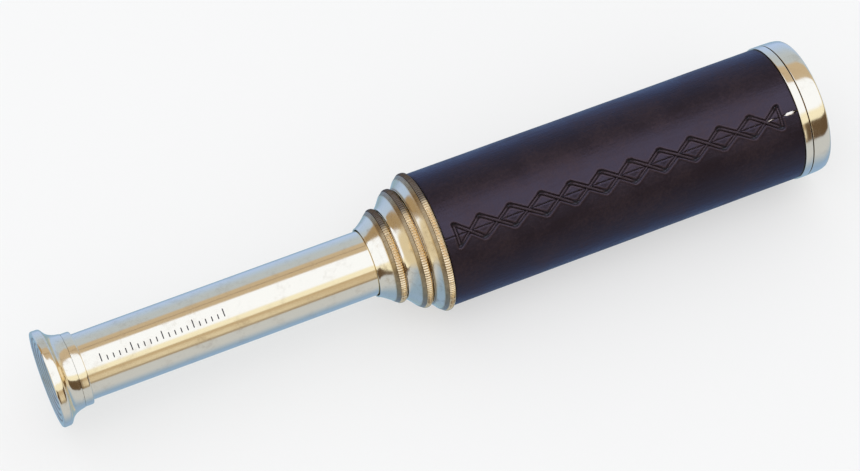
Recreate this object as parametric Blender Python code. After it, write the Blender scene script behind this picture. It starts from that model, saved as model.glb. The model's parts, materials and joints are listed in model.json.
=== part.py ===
"""Three-draw brass and leather hand telescope, shown with its eyepiece draw pulled out.

The optical axis lies along X, the eye end at -X and the object end at +X, and the telescope
rests on z = 0. Lengths below are in millimetres and are turned into metres as each piece is made.
Every turned piece is a closed (x, radius) outline swept round the axis, with x counted from a
point between the two large collars; the pieces are then placed so that the whole length is
centred on the origin.
"""

import math

import bmesh
import bpy
from mathutils import Matrix, Vector

MM = 0.001                      # metres in a millimetre

# Driving dimensions, in millimetres.
GAP = 0.3                       # clearance kept between touching pieces
OUTER_SIDES = 36                # flats round the outer metalwork
INNER_SIDES = 24                # flats round the lenses and small rings
BRASS_WALL = 0.6                # wall of the three draw tubes
SHARP = math.radians(35.0)      # corners turned further than this stay sharp

RIM_RADIUS = (13.25, 16.8, 19.5)        # knurled rims: middle draw, large draw, barrel
TUBE_RADIUS = (9.0, 12.0, 15.0)         # draw tubes, outside: small, middle, large
RIM_BACK = (-12.45, -6.5, -1.2)         # back face of each knurled rim
RIM_WIDTH = 2.25
RIM_CHAMFER = 0.25
LIP_FRONT = (-18.95, -12.1, -6.15)      # front lip of each collar
LIP_RADIUS = (9.65, 12.8, 16.2)
SHANK_END = (-6.0, 0.0, 6.0)            # how far each collar reaches into its tube
SHANK_BORE = (10.3, 13.2, 16.0)
GLAND_START = (-16.2, -9.7, -4.0)
FLARE_POWER = 1.5                       # how hollow the flare of a collar is
FLARE_STEPS = 4

BARREL_RADIUS = 17.4
BARREL_BORE = 16.9
BARREL_END = 105.1
LEATHER_RADIUS = 18.7
LEATHER_END = 102.66
OBJECTIVE_RADIUS = 19.05
CELL_START = 105.4
CELL_FACE = 110.9
CELL_ROUNDING = ((1.5, 18.85), (0.4, 18.6), (0.0, 18.1))    # (behind the face, radius)
CELL_MOUTH = 16.6
CELL_MOUTH_DEPTH = 4.9
CELL_BORE = 15.6
CELL_APERTURE = 14.6
CELL_SEAT = 104.6
CELL_SHANK_END = 95.5
RETAINING_RING = (96.1, 98.1, 13.9)     # start, end and hole

SEAM_ANGLE = math.radians(36.0)         # leather seam, turned from +Z towards -Y
SEAM_WIDTH = 0.5
SEAM_CUT_DEPTH = 4.0
LACE_CROSSINGS = 11
LACE_FIRST = 5.5
LACE_PITCH = 8.8
LACE_HALF_HEIGHT = 2.85
LACE_WIDTH = 0.7
LACE_BARS = (2.8, 97.4)
LACE_BOTTOM = LEATHER_RADIUS + GAP
LACE_TOP = LACE_BOTTOM + 0.35

DRAW_TRAVEL = 81.0                      # middle and large draws, from closed to full length
LARGE_TUBE_END = 89.3
SMALL_TUBE_START = -101.8
SMALL_TUBE_END = -3.7
STOP_WIDTH = 2.0
BAFFLE_WIDTH = 1.0
BAFFLE_INSET = 0.5                      # from the baffle to the end of its tube
LARGE_BAFFLE_HOLE = 9.5
MIDDLE_BAFFLE_HOLE = 6.5

EYECUP_FACE = -109.1
EYECUP_BACK = -102.1
EYECUP_LIP = (12.6, 13.2)               # its radius at the face, and where it is widest
EYECUP_TRUMPET = ((2.9, 12.7), (3.6, 11.75), (4.6, 11.05), (5.8, 10.62))    # (behind the face, radius)
EYECUP_WAIST = 10.4
DISH = ((2.4, 8.0), (0.3, 12.2))        # the dished face, the same way
DISH_BOTTOM = -105.4
EYE_HOLE_RADIUS = 3.2
EYE_LENS_SEAT = -103.5
EYE_LENS_BORE = 6.8
EYECUP_SHANK_END = -97.5
FERRULE_BACK = -99.5
FERRULE_RADIUS = 10.0
FERRULE_CHAMFER = (0.4, 0.3)            # along the axis and across it

FIELD_CELL = (-84.0, -77.0)             # from end to end
FIELD_CELL_SEAT = -83.2
FIELD_CELL_LIP = 6.3
ERECTOR = (-41.0, -4.3)                 # from end to end
ERECTOR_SEATS = (-36.0, -9.3)
ERECTOR_WAIST = 6.4
SMALL_LENS_BORE = 7.3                   # of the field cell and the erector

# Lenses: radius, then the edge and the middle of the eye-side and of the object-side surface.
LENSES = {
    "objective_crown_lens": (15.3, 102.1, 100.45, 104.3, 105.75),
    "objective_flint_lens": (15.3, 98.4, 98.4, 101.8, 100.15),
    "eye_lens": (6.5, -103.2, -103.2, -102.0, -100.5),
    "field_lens": (7.0, -82.9, -82.9, -81.7, -80.2),
    "erector_eye_side_lens": (7.0, -37.7, -37.7, -36.5, -35.1),
    "erector_object_side_lens": (7.0, -8.8, -10.2, -7.6, -7.6),
}
LENS_STEPS = 3

# Blackened rings and stops round the light's path: start, end, hole and outer radius.
LIGHT_RINGS = {
    "eye_lens_ring": (-101.2, -99.7, 5.4, 6.5),
    "field_stop": (-92.0, -91.0, 4.0, 8.1),
    "field_lens_ring": (-80.9, -79.4, 6.0, 7.0),
    "erector_eye_side_ring": (-39.5, -38.0, 6.0, 7.0),
    "erector_stop": (-24.0, -23.0, 1.5, 6.1),
    "erector_object_side_ring": (-7.3, -5.8, 6.0, 7.0),
}

# The rims stand on the floor with a flat of the many-sided outline down.
AXIS_HEIGHT = RIM_RADIUS[2] * math.cos(math.pi / OUTER_SIDES)
AXIS_START = -(EYECUP_FACE + CELL_FACE) / 2.0
AXIS_POINT = (AXIS_START * MM, 0.0, AXIS_HEIGHT * MM)

BRASS = ("brass", (0.78, 0.58, 0.27), 0.18, 1.0)
BLACKENED = ("blackened_brass", (0.03, 0.03, 0.03), 0.6, 0.8)
LEATHER = ("leather", (0.055, 0.032, 0.035), 0.42, 0.0)
LACE = ("lace", (0.045, 0.025, 0.025), 0.5, 0.0)
FELT = ("felt", (0.12, 0.09, 0.06), 0.95, 0.0)
GLASS = ("glass", (0.86, 0.92, 0.93), 0.02, 0.0)


def clear_scene():
    """Remove every object that the file opened with."""
    for old in list(bpy.data.objects):
        bpy.data.objects.remove(old, do_unlink=True)


def make_material(spec):
    """Return the Principled material for one finish, made once."""
    name, colour, roughness, metallic = spec
    found = bpy.data.materials.get(name)
    if found:
        return found
    material = bpy.data.materials.new(name)
    material.use_nodes = True
    shader = material.node_tree.nodes["Principled BSDF"]
    shader.inputs["Base Color"].default_value = (*colour, 1.0)
    shader.inputs["Roughness"].default_value = roughness
    shader.inputs["Metallic"].default_value = metallic
    return material


def add_object(name, mesh, spec, draw=None):
    """Link a mesh as a named piece on the optical axis, or on a draw that slides along it."""
    mesh.materials.append(make_material(spec))
    piece = bpy.data.objects.new(name, mesh)
    bpy.context.collection.objects.link(piece)
    if draw is None:
        piece.location = AXIS_POINT
    else:
        piece.parent = draw
    return piece


def add_draw(name):
    """Make the empty that carries one draw along the optical axis."""
    draw = bpy.data.objects.new(name, None)
    draw.location = AXIS_POINT
    bpy.context.collection.objects.link(draw)
    return draw


def turned(name, outline, spec, draw=None, sides=OUTER_SIDES):
    """Sweep a closed (x, radius) outline round the X axis, with a flat facing straight down."""
    mesh = bpy.data.meshes.new(name)
    work = bmesh.new()
    half_flat = Matrix.Rotation(math.pi / sides, 3, "X")
    corners = [work.verts.new(half_flat @ Vector((x * MM, 0.0, radius * MM))) for x, radius in outline]
    edges = [work.edges.new(pair) for pair in zip(corners, corners[1:] + corners[:1])]
    bmesh.ops.spin(work, geom=corners + edges, cent=(0.0, 0.0, 0.0), axis=(1.0, 0.0, 0.0),
                   angle=2.0 * math.pi, steps=sides, use_merge=True)
    bmesh.ops.remove_doubles(work, verts=work.verts, dist=1e-7)
    bmesh.ops.recalc_face_normals(work, faces=work.faces)
    work.to_mesh(mesh)
    work.free()
    mesh.shade_smooth()
    mesh.set_sharp_from_angle(angle=SHARP)
    return add_object(name, mesh, spec, draw)


def ring(name, start, end, inner, outer, spec, draw=None, sides=OUTER_SIDES):
    """A plain turned ring or tube."""
    outline = [(start, inner), (start, outer), (end, outer), (end, inner)]
    return turned(name, outline, spec, draw, sides)


def light_ring(name, draw, sides=INNER_SIDES):
    """One of the blackened rings and stops inside the small draw."""
    ring(name, *LIGHT_RINGS[name], BLACKENED, draw, sides)


def lens_face(edge_x, middle_x, radius):
    """Points of a lens surface from its edge to near the axis, as a parabola."""
    bulge = middle_x - edge_x
    shares = [step / LENS_STEPS for step in range(LENS_STEPS, 0, -1)]
    return [(edge_x + bulge * (1.0 - share ** 2), radius * share) for share in shares]


def lens(name, draw=None):
    """A solid lens: its eye-side and object-side surfaces meet a ground edge."""
    radius, eye_edge, eye_middle, object_edge, object_middle = LENSES[name]
    mesh = bpy.data.meshes.new(name)
    work = bmesh.new()
    eye_side = lens_face(eye_edge, eye_middle, radius)
    object_side = lens_face(object_edge, object_middle, radius)
    rings = []
    for x, size in eye_side[::-1] + object_side:
        corners = []
        for side in range(INNER_SIDES):
            angle = 2.0 * math.pi * (side + 0.5) / INNER_SIDES
            corners.append(work.verts.new((x * MM, size * MM * math.sin(angle), size * MM * math.cos(angle))))
        rings.append(corners)
    for near, far in zip(rings, rings[1:]):
        for side in range(INNER_SIDES):
            after = (side + 1) % INNER_SIDES
            work.faces.new((near[side], near[after], far[after], far[side]))
    for corners, middle_x in ((rings[0], eye_middle), (rings[-1], object_middle)):
        pole = work.verts.new((middle_x * MM, 0.0, 0.0))
        for side in range(INNER_SIDES):
            work.faces.new((corners[side], corners[(side + 1) % INNER_SIDES], pole))
    bmesh.ops.recalc_face_normals(work, faces=work.faces)
    work.to_mesh(mesh)
    work.free()
    mesh.shade_smooth()
    mesh.set_sharp_from_angle(angle=SHARP)
    return add_object(name, mesh, GLASS, draw)


def collar(name, index, draw=None):
    """A flared draw collar: thin front lip, hollow flare, rim, and a shank bored for its gland."""
    bore = TUBE_RADIUS[index] + GAP
    rim = RIM_RADIUS[index]
    rim_back = RIM_BACK[index]
    rim_front = rim_back - RIM_WIDTH
    lip_front, lip_radius = LIP_FRONT[index], LIP_RADIUS[index]
    foot = rim - 2.0 * RIM_CHAMFER
    shank = TUBE_RADIUS[index + 1] - BRASS_WALL - GAP if index < 2 else BARREL_BORE - GAP
    outline = [(lip_front, bore)]
    for step in range(FLARE_STEPS + 1):
        along = step / FLARE_STEPS
        outline.append((lip_front + along * (rim_front - lip_front),
                        lip_radius + (foot - lip_radius) * along ** FLARE_POWER))
    outline += [(rim_front + RIM_CHAMFER, rim), (rim_back - RIM_CHAMFER, rim),
                (rim_back, rim - RIM_CHAMFER), (rim_back, shank),
                (SHANK_END[index], shank), (SHANK_END[index], SHANK_BORE[index]),
                (GLAND_START[index] - GAP, SHANK_BORE[index]), (GLAND_START[index] - GAP, bore)]
    return turned(name, outline, BRASS, draw)


def gland(name, index, draw=None):
    """The felt-lined sleeve inside a collar that grips the draw tube."""
    return ring(name, GLAND_START[index], SHANK_END[index], TUBE_RADIUS[index] + GAP,
                SHANK_BORE[index] - GAP, FELT, draw)


def stop_ring(name, index, end, draw):
    """The ring on a draw tube's inner end that meets the collar's shank at full length."""
    outer = TUBE_RADIUS[index + 1] - BRASS_WALL - GAP if index < 2 else BARREL_BORE - GAP
    return ring(name, end - STOP_WIDTH, end, TUBE_RADIUS[index] + GAP, outer, BRASS, draw)


def draw_tube(name, index, start, end, draw):
    """A drawn brass tube."""
    outer = TUBE_RADIUS[index]
    return ring(name, start, end, outer - BRASS_WALL, outer, BRASS, draw)


def baffle(name, index, hole, tube_end, draw):
    """A blackened light stop across the inner end of a draw tube."""
    start = tube_end - BAFFLE_INSET - BAFFLE_WIDTH
    outer = TUBE_RADIUS[index] - BRASS_WALL - GAP
    return ring(name, start, start + BAFFLE_WIDTH, hole, outer, BLACKENED, draw)


def leather_sleeve():
    """The leather wrapped round the barrel, with a butt joint cut along its seam."""
    start = RIM_BACK[2] + GAP
    sleeve = ring("leather_sleeve", start, LEATHER_END, BARREL_RADIUS + GAP, LEATHER_RADIUS, LEATHER)
    length = LEATHER_END - start
    mesh = bpy.data.meshes.new("seam_cutter")
    work = bmesh.new()
    size = Matrix.Diagonal(((length + SEAM_CUT_DEPTH) * MM, SEAM_WIDTH * MM, SEAM_CUT_DEPTH * MM, 1.0))
    lift = Matrix.Translation(((start + length / 2.0) * MM, 0.0, LEATHER_RADIUS * MM))
    bmesh.ops.create_cube(work, size=1.0, matrix=Matrix.Rotation(SEAM_ANGLE, 4, "X") @ lift @ size)
    work.to_mesh(mesh)
    work.free()
    cutter = bpy.data.objects.new("seam_cutter", mesh)
    cutter.location = AXIS_POINT
    cutter.hide_render = True
    cutter.display_type = "WIRE"
    bpy.context.collection.objects.link(cutter)
    cut = sleeve.modifiers.new("seam", "BOOLEAN")
    cut.operation = "DIFFERENCE"
    cut.object = cutter
    return sleeve


def lace_outline_faces():
    """Flat faces of the crossed lacing, as (x, height) corners, from one end bar to the other."""
    slope = math.atan2(LACE_HALF_HEIGHT, LACE_PITCH / 2.0)
    along = LACE_WIDTH / 2.0 / math.sin(slope)
    across = LACE_WIDTH / 2.0 / math.cos(slope)
    tops = [LACE_BARS[0]]
    tops += [LACE_FIRST + (crossing + 0.5) * LACE_PITCH for crossing in range(LACE_CROSSINGS - 1)]
    tops.append(LACE_BARS[1])
    faces = []
    for crossing in range(LACE_CROSSINGS):
        x = LACE_FIRST + crossing * LACE_PITCH
        left, right = (x - along, 0.0), (x + along, 0.0)
        faces.append([left, (x, -across), right, (x, across)])
        for sign in (1.0, -1.0):
            for side, corner in ((tops[crossing], left), (tops[crossing + 1], right)):
                inner = (side, sign * (LACE_HALF_HEIGHT - across))
                outer = (side, sign * (LACE_HALF_HEIGHT + across))
                faces.append([corner, inner, outer, (x, sign * across)])
    for x, outward in ((LACE_BARS[0], -LACE_WIDTH), (LACE_BARS[1], LACE_WIDTH)):
        heights = [LACE_HALF_HEIGHT + across, LACE_HALF_HEIGHT - across]
        heights += [-height for height in heights[::-1]]
        near = [(x, height) for height in heights]
        far = [(x + outward, height) for height in heights]
        for corner in range(3):
            faces.append([near[corner], near[corner + 1], far[corner + 1], far[corner]])
    return faces


def seam_lacing():
    """The lacing: one band of crossed stitches wrapped over the seam."""
    mesh = bpy.data.meshes.new("seam_lacing")
    work = bmesh.new()

    def wrapped(point, radius):
        x, height = point
        angle = SEAM_ANGLE - height / LEATHER_RADIUS
        return Vector((x * MM, -radius * MM * math.sin(angle), radius * MM * math.cos(angle)))

    for face in lace_outline_faces():
        work.faces.new([work.verts.new(wrapped(point, LACE_BOTTOM)) for point in face])
    bmesh.ops.remove_doubles(work, verts=work.verts, dist=1e-6)
    bmesh.ops.recalc_face_normals(work, faces=work.faces)
    bottom = list(work.faces)
    raised = bmesh.ops.extrude_face_region(work, geom=bottom, use_keep_orig=True)["geom"]
    stretch = LACE_TOP / LACE_BOTTOM
    for vertex in [item for item in raised if isinstance(item, bmesh.types.BMVert)]:
        vertex.co.y *= stretch
        vertex.co.z *= stretch
    bmesh.ops.recalc_face_normals(work, faces=work.faces)
    work.to_mesh(mesh)
    work.free()
    return add_object("seam_lacing", mesh, LACE)


def objective_cell():
    """The object-lens cell: rounded front ring, dished mouth, lens seat and rear shank."""
    rounding = [(CELL_FACE - behind, radius) for behind, radius in CELL_ROUNDING]
    outline = [(CELL_START, OBJECTIVE_RADIUS), *rounding, (CELL_FACE, CELL_MOUTH),
               (CELL_FACE - CELL_MOUTH_DEPTH, CELL_APERTURE), (CELL_SEAT, CELL_APERTURE),
               (CELL_SEAT, CELL_BORE), (CELL_SHANK_END, CELL_BORE),
               (CELL_SHANK_END, BARREL_BORE - GAP), (CELL_START, BARREL_BORE - GAP)]
    return turned("objective_cell", outline, BRASS)


def barrel_pieces():
    """Everything that stays with the leather-covered barrel."""
    ring("barrel_tube", RIM_BACK[2] + GAP, BARREL_END, BARREL_BORE, BARREL_RADIUS, BRASS)
    leather_sleeve()
    seam_lacing()
    collar("barrel_collar", 2)
    gland("barrel_gland", 2)
    ring("objective_ferrule", LEATHER_END + GAP, BARREL_END, BARREL_RADIUS + GAP, OBJECTIVE_RADIUS, BRASS)
    objective_cell()
    lens("objective_crown_lens")
    lens("objective_flint_lens")
    ring("objective_retaining_ring", *RETAINING_RING, CELL_BORE - GAP, BLACKENED)


def large_draw_pieces(draw):
    """The largest draw, which slides in the barrel."""
    draw_tube("large_tube", 2, RIM_BACK[1] + GAP, LARGE_TUBE_END, draw)
    collar("large_collar", 1, draw)
    gland("large_gland", 1, draw)
    stop_ring("large_stop_ring", 2, LARGE_TUBE_END, draw)
    baffle("large_baffle", 2, LARGE_BAFFLE_HOLE, LARGE_TUBE_END, draw)


def middle_draw_pieces(draw):
    """The middle draw, which slides in the large one."""
    end = SHANK_END[1] + GAP + DRAW_TRAVEL + STOP_WIDTH
    draw_tube("middle_tube", 1, RIM_BACK[0] + GAP, end, draw)
    collar("middle_collar", 0, draw)
    gland("middle_gland", 0, draw)
    stop_ring("middle_stop_ring", 1, end, draw)
    baffle("middle_baffle", 1, MIDDLE_BAFFLE_HOLE, end, draw)


def eyecup(draw):
    """The trumpet eyecup, with a dished face, an eye hole and a threaded shank."""
    tube_bore = TUBE_RADIUS[0] - BRASS_WALL
    face_radius, lip_radius = EYECUP_LIP
    trumpet = [(EYECUP_FACE + behind, radius) for behind, radius in EYECUP_TRUMPET]
    dish = [(EYECUP_FACE + behind, radius) for behind, radius in DISH]
    outline = [(EYECUP_FACE, face_radius), (EYECUP_FACE + 0.3, lip_radius), (EYECUP_FACE + 2.0, lip_radius),
               *trumpet, (EYECUP_BACK, EYECUP_WAIST), (EYECUP_BACK, tube_bore - GAP),
               (EYECUP_SHANK_END, tube_bore - GAP), (EYECUP_SHANK_END, EYE_LENS_BORE),
               (EYE_LENS_SEAT, EYE_LENS_BORE), (EYE_LENS_SEAT, EYE_HOLE_RADIUS),
               (DISH_BOTTOM, EYE_HOLE_RADIUS), *dish]
    return turned("eyecup", outline, BRASS, draw)


def eyepiece_ferrule(draw):
    """The short band behind the eyecup."""
    outline = [(SMALL_TUBE_START, TUBE_RADIUS[0] + GAP), (SMALL_TUBE_START, FERRULE_RADIUS),
               (FERRULE_BACK - FERRULE_CHAMFER[0], FERRULE_RADIUS),
               (FERRULE_BACK, FERRULE_RADIUS - FERRULE_CHAMFER[1]),
               (FERRULE_BACK, TUBE_RADIUS[0] + GAP)]
    return turned("eyepiece_ferrule", outline, BRASS, draw)


def eyepiece_optics(draw):
    """Eye lens, field stop and field lens, with the cell and rings that hold them."""
    holder = TUBE_RADIUS[0] - BRASS_WALL - GAP
    start, end = FIELD_CELL
    cell = [(start, FIELD_CELL_LIP), (start, holder), (end, holder), (end, SMALL_LENS_BORE),
            (FIELD_CELL_SEAT, SMALL_LENS_BORE), (FIELD_CELL_SEAT, FIELD_CELL_LIP)]
    lens("eye_lens", draw)
    light_ring("eye_lens_ring", draw)
    light_ring("field_stop", draw)
    turned("field_lens_cell", cell, BRASS, draw, INNER_SIDES)
    lens("field_lens", draw)
    light_ring("field_lens_ring", draw)


def erector_optics(draw):
    """The cartridge at the inner end that turns the picture upright."""
    holder = TUBE_RADIUS[0] - BRASS_WALL - GAP
    start, end = ERECTOR
    outline = [(start, SMALL_LENS_BORE), (start, holder), (end, holder), (end, SMALL_LENS_BORE),
               (ERECTOR_SEATS[1], SMALL_LENS_BORE), (ERECTOR_SEATS[1], ERECTOR_WAIST),
               (ERECTOR_SEATS[0], ERECTOR_WAIST), (ERECTOR_SEATS[0], SMALL_LENS_BORE)]
    turned("erector_tube", outline, BRASS, draw, INNER_SIDES)
    lens("erector_eye_side_lens", draw)
    lens("erector_object_side_lens", draw)
    light_ring("erector_eye_side_ring", draw)
    light_ring("erector_object_side_ring", draw)
    light_ring("erector_stop", draw)


def small_draw_pieces(draw):
    """The smallest draw, which carries the eyepiece and the erector."""
    draw_tube("small_tube", 0, SMALL_TUBE_START, SMALL_TUBE_END, draw)
    stop_ring("small_stop_ring", 0, SMALL_TUBE_END, draw)
    eyepiece_ferrule(draw)
    eyecup(draw)
    eyepiece_optics(draw)
    erector_optics(draw)


clear_scene()
barrel_pieces()
large_draw_pieces(add_draw("large_draw_axis"))
middle_draw_pieces(add_draw("middle_draw_axis"))
small_draw_pieces(add_draw("small_draw_axis"))
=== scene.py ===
"""Brass and leather hand telescope: the finished pieces and their finishes, made around its frame.

The optical axis lies along X with the eye end at -X, and everything is in metres. Turned pieces are
outlines of (x, radius) swept round the axis. Angles round the axis are counted from +Z towards -Y.
"""

import collections
import json
import math
import random

import bmesh
import bpy
import numpy as np
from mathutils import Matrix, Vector


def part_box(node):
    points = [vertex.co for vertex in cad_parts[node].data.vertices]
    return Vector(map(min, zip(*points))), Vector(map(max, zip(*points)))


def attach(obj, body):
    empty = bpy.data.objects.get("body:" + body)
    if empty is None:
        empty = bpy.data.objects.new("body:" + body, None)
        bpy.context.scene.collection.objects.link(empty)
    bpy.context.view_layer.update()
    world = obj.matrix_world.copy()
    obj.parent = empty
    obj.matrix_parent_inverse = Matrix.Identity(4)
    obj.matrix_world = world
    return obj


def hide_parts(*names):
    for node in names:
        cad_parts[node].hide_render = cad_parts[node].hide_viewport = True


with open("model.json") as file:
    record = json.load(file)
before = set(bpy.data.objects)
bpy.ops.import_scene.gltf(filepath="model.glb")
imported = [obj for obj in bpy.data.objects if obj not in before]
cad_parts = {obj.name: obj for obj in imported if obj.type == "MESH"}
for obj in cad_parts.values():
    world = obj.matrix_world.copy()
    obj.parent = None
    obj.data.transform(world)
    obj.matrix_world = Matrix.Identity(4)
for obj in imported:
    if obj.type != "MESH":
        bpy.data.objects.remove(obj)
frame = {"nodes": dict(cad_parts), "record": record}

bl_info = {
    "name": "Brass and leather hand telescope",
    "version": (1, 0, 0),
    "blender": (4, 5, 0),
    "location": "View3D > Sidebar > Telescope",
    "description": "Makes the turned brass, the laced leather and the studio of a hand telescope",
    "category": "Add Mesh",
}

MM = 0.001
GAP = 0.3 * MM                  # what the frame leaves between pieces that touch
HAIR = 0.02 * MM                # keeps two faces of the finished pieces apart
WALL = 0.6 * MM                 # wall of a draw tube
BARREL_WALL = 0.5 * MM
LEATHER_LAP = 0.22 * MM         # how far the leather reaches past its frame node
OUTER_FLATS = 36                # flats of the frame's outer rings
INNER_FLATS = 24                # flats of its lenses
SHARP = math.radians(33.0)      # corners sharper than this keep their edge
SAME = 1e-7                     # points closer than this are one point
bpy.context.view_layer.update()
AXIS_HEIGHT = sum(corner.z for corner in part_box("barrel_tube")) / 2.0

Span = collections.namedtuple("Span", "start end radius")
Stitch = collections.namedtuple("Stitch", "start end over")


def span(node, flats=OUTER_FLATS):
    """Where a round frame piece starts and ends along the axis, and its outer radius."""
    low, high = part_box(node)
    return Span(low.x, high.x, (high.y - low.y) / 2.0 / math.cos(math.pi / flats))


# ---------------------------------------------------------------- sizes and colours


def length(name, description, default):
    """A length that the sidebar can change, given in millimetres."""
    return bpy.props.FloatProperty(name=name, description=description, default=default * MM,
                                   unit="LENGTH", subtype="DISTANCE", precision=5)


def count(name, description, default):
    """A whole number that the sidebar can change."""
    return bpy.props.IntProperty(name=name, description=description, default=default, min=3)


def angle(name, description, default):
    """An angle that the sidebar can change, given in degrees."""
    return bpy.props.FloatProperty(name=name, description=description, default=math.radians(default),
                                   unit="ROTATION", subtype="ANGLE")


def colour(name, description, default):
    """A linear colour that the sidebar can change."""
    return bpy.props.FloatVectorProperty(name=name, description=description, default=default,
                                         subtype="COLOR", size=3, min=0.0, soft_max=1.0)


class TelescopeSizes(bpy.types.PropertyGroup):
    """Sizes of the metalwork and the leatherwork."""

    rounds: count("Rounds", "Sides of a turned piece", 192)
    edge: length("Edge", "How far a turned corner is eased", 0.15)
    rim_width: length("Rim width", "Width of a knurled rim", 1.85)
    fillet: length("Fillet", "Width of the steep fillet between a flare and its rim", 1.0)
    fillet_rise: length("Fillet rise", "Height of that fillet", 0.85)
    rim_height: length("Rim height", "How far a knurled rim stands out of its collar", 0.85)
    knurl_pitch: length("Knurl pitch", "Distance between the ridges of a rim", 0.74)
    knurl_depth: length("Knurl depth", "Depth of the cuts of a rim", 0.30)
    foot_drop: length("Foot drop", "How far the fillet ends under the rim's crown", 0.42)
    dish_rings: count("Dish rings", "Turned ripples in the eyecup", 6)
    seam_angle: angle("Seam angle", "Where the leather seam lies, from the top towards the front", 36.0)
    crossings: count("Crossings", "Crossed stitches over the seam", 11)
    stitch_pitch: length("Stitch pitch", "Distance between crossings", 8.8)
    stitch_height: length("Stitch height", "Half the height of the lacing", 2.85)
    thread: length("Thread", "Diameter of the lacing thread", 0.72)
    groove: length("Groove", "How deep the thread has sunk into the leather", 0.34)
    joint: length("Joint", "Half the gap between the leather's edges", 0.04)
    scale_pitch: length("Scale pitch", "Distance between the marks of the focus scale", 1.7)
    scale_marks: count("Scale marks", "Marks of the focus scale", 21)


class TelescopeColours(bpy.types.PropertyGroup):
    """Base colours of the finishes."""

    brass: colour("Brass", "Polished brass", (0.87, 0.68, 0.38))
    rim: colour("Rim", "Brass of the knurled rims", (0.86, 0.58, 0.25))
    # Patina is also painted shade in hollow corners and the painted brown reflection on the collars'
    # fillets.
    patina_and_shade: colour("Patina", "Brown brass in shallow corners", (0.50, 0.30, 0.095))
    tarnish: colour("Tarnish", "Brass that has dulled", (0.62, 0.45, 0.24))
    # Grime is also painted shade in hollow corners, on the fillets, in the knurl cuts and in the eyecup's
    # ripples.
    grime_and_shade: colour("Grime", "Old polish in the corners", (0.10, 0.065, 0.035))
    # Blackening is also the painted shade in the leather's grooves, holes and seam, and between the
    # thread's plies.
    black: colour("Blackening", "Matt black inside the tubes", (0.018, 0.017, 0.016))
    leather: colour("Leather", "Dyed leather", (0.0125, 0.0060, 0.0075))
    # Worn leather is also the painted highlight on the leather's shoulders and on the thread's crests.
    leather_worn_and_highlit: colour("Worn leather", "Leather rubbed along its creases", (0.030, 0.015, 0.013))
    thread: colour("Thread", "Waxed lacing", (0.030, 0.0135, 0.0120))
    felt: colour("Felt", "Felt of the glands", (0.12, 0.09, 0.06))
    glass: colour("Glass", "Tint of the lenses", (0.93, 0.98, 0.97))
    floor: colour("Floor", "Floor of the studio", (0.40, 0.40, 0.40))


class StudioSizes(bpy.types.PropertyGroup):
    """Where the camera stands and what the studio's panels look like in the brass."""

    azimuth: angle("Azimuth", "Camera's turn from the front", -23.8)
    elevation: angle("Elevation", "Camera's height as an angle", 56.0)
    distance: length("Distance", "Camera to the telescope", 802.6)
    aim: length("Aim", "Point on the axis that the camera looks at", -0.90)
    slide: length("Slide", "Camera moved along its right", -0.36)
    rise: length("Rise", "Camera moved along its up", 0.98)
    focal: bpy.props.FloatProperty(name="Focal length", description="For a 36 mm sensor", default=125.58)
    panel: colour("Panel", "White panel over the telescope", (1.10, 1.40, 2.40))
    amber: colour("Amber", "Lower edge of the panel", (1.04, 1.17, 1.38))
    tan: colour("Tan", "Warm wall above the panel", (0.62, 0.59, 0.62))
    tan_shade: colour("Shaded tan", "The same wall towards the eye end", (0.42, 0.36, 0.30))
    umber: colour("Umber", "Dark strip under the panel", (0.60, 0.55, 0.52))
    umber_shade: colour("Shaded umber", "The same strip towards the ends", (0.13, 0.10, 0.085))
    sky: colour("Sky", "Surroundings above and behind", (0.50, 0.77, 1.60))
    haze: colour("Haze", "Surroundings next to the warm wall", (0.54, 0.73, 1.25))
    ground: colour("Ground", "Surroundings in front, under the strip", (0.62, 0.78, 1.26))
    dusk: colour("Dusk", "Surroundings underneath", (0.31, 0.53, 1.10))
    brink: colour("Brink", "Surroundings right behind, seen in the edges", (0.31, 0.50, 0.74))
    ends: colour("Ends", "Surroundings straight off both ends", (0.78, 0.80, 0.84))
    warm: colour("Warm", "Warm wall low at the back", (0.95, 0.86, 0.68))


# ---------------------------------------------------------------- node sheets


class Wire:
    """A socket of a node sheet, to be used in an expression."""

    def __init__(self, sheet, socket):
        self.sheet = sheet
        self.socket = socket

    def math(self, operation, *others, swapped=False):
        values = [self, *others]
        if swapped:
            values.reverse()
        return self.sheet.node("ShaderNodeMath", {"operation": operation}, dict(enumerate(values)))

    def __add__(self, other):
        return self.math("ADD", other)

    def __sub__(self, other):
        return self.math("SUBTRACT", other)

    def __rsub__(self, other):
        return self.math("SUBTRACT", other, swapped=True)

    def __mul__(self, other):
        return self.math("MULTIPLY", other)

    def __truediv__(self, other):
        return self.math("DIVIDE", other)

    def __pow__(self, other):
        return self.math("POWER", other)

    def __neg__(self):
        return self.math("MULTIPLY", -1.0)

    __radd__ = __add__
    __rmul__ = __mul__


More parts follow.
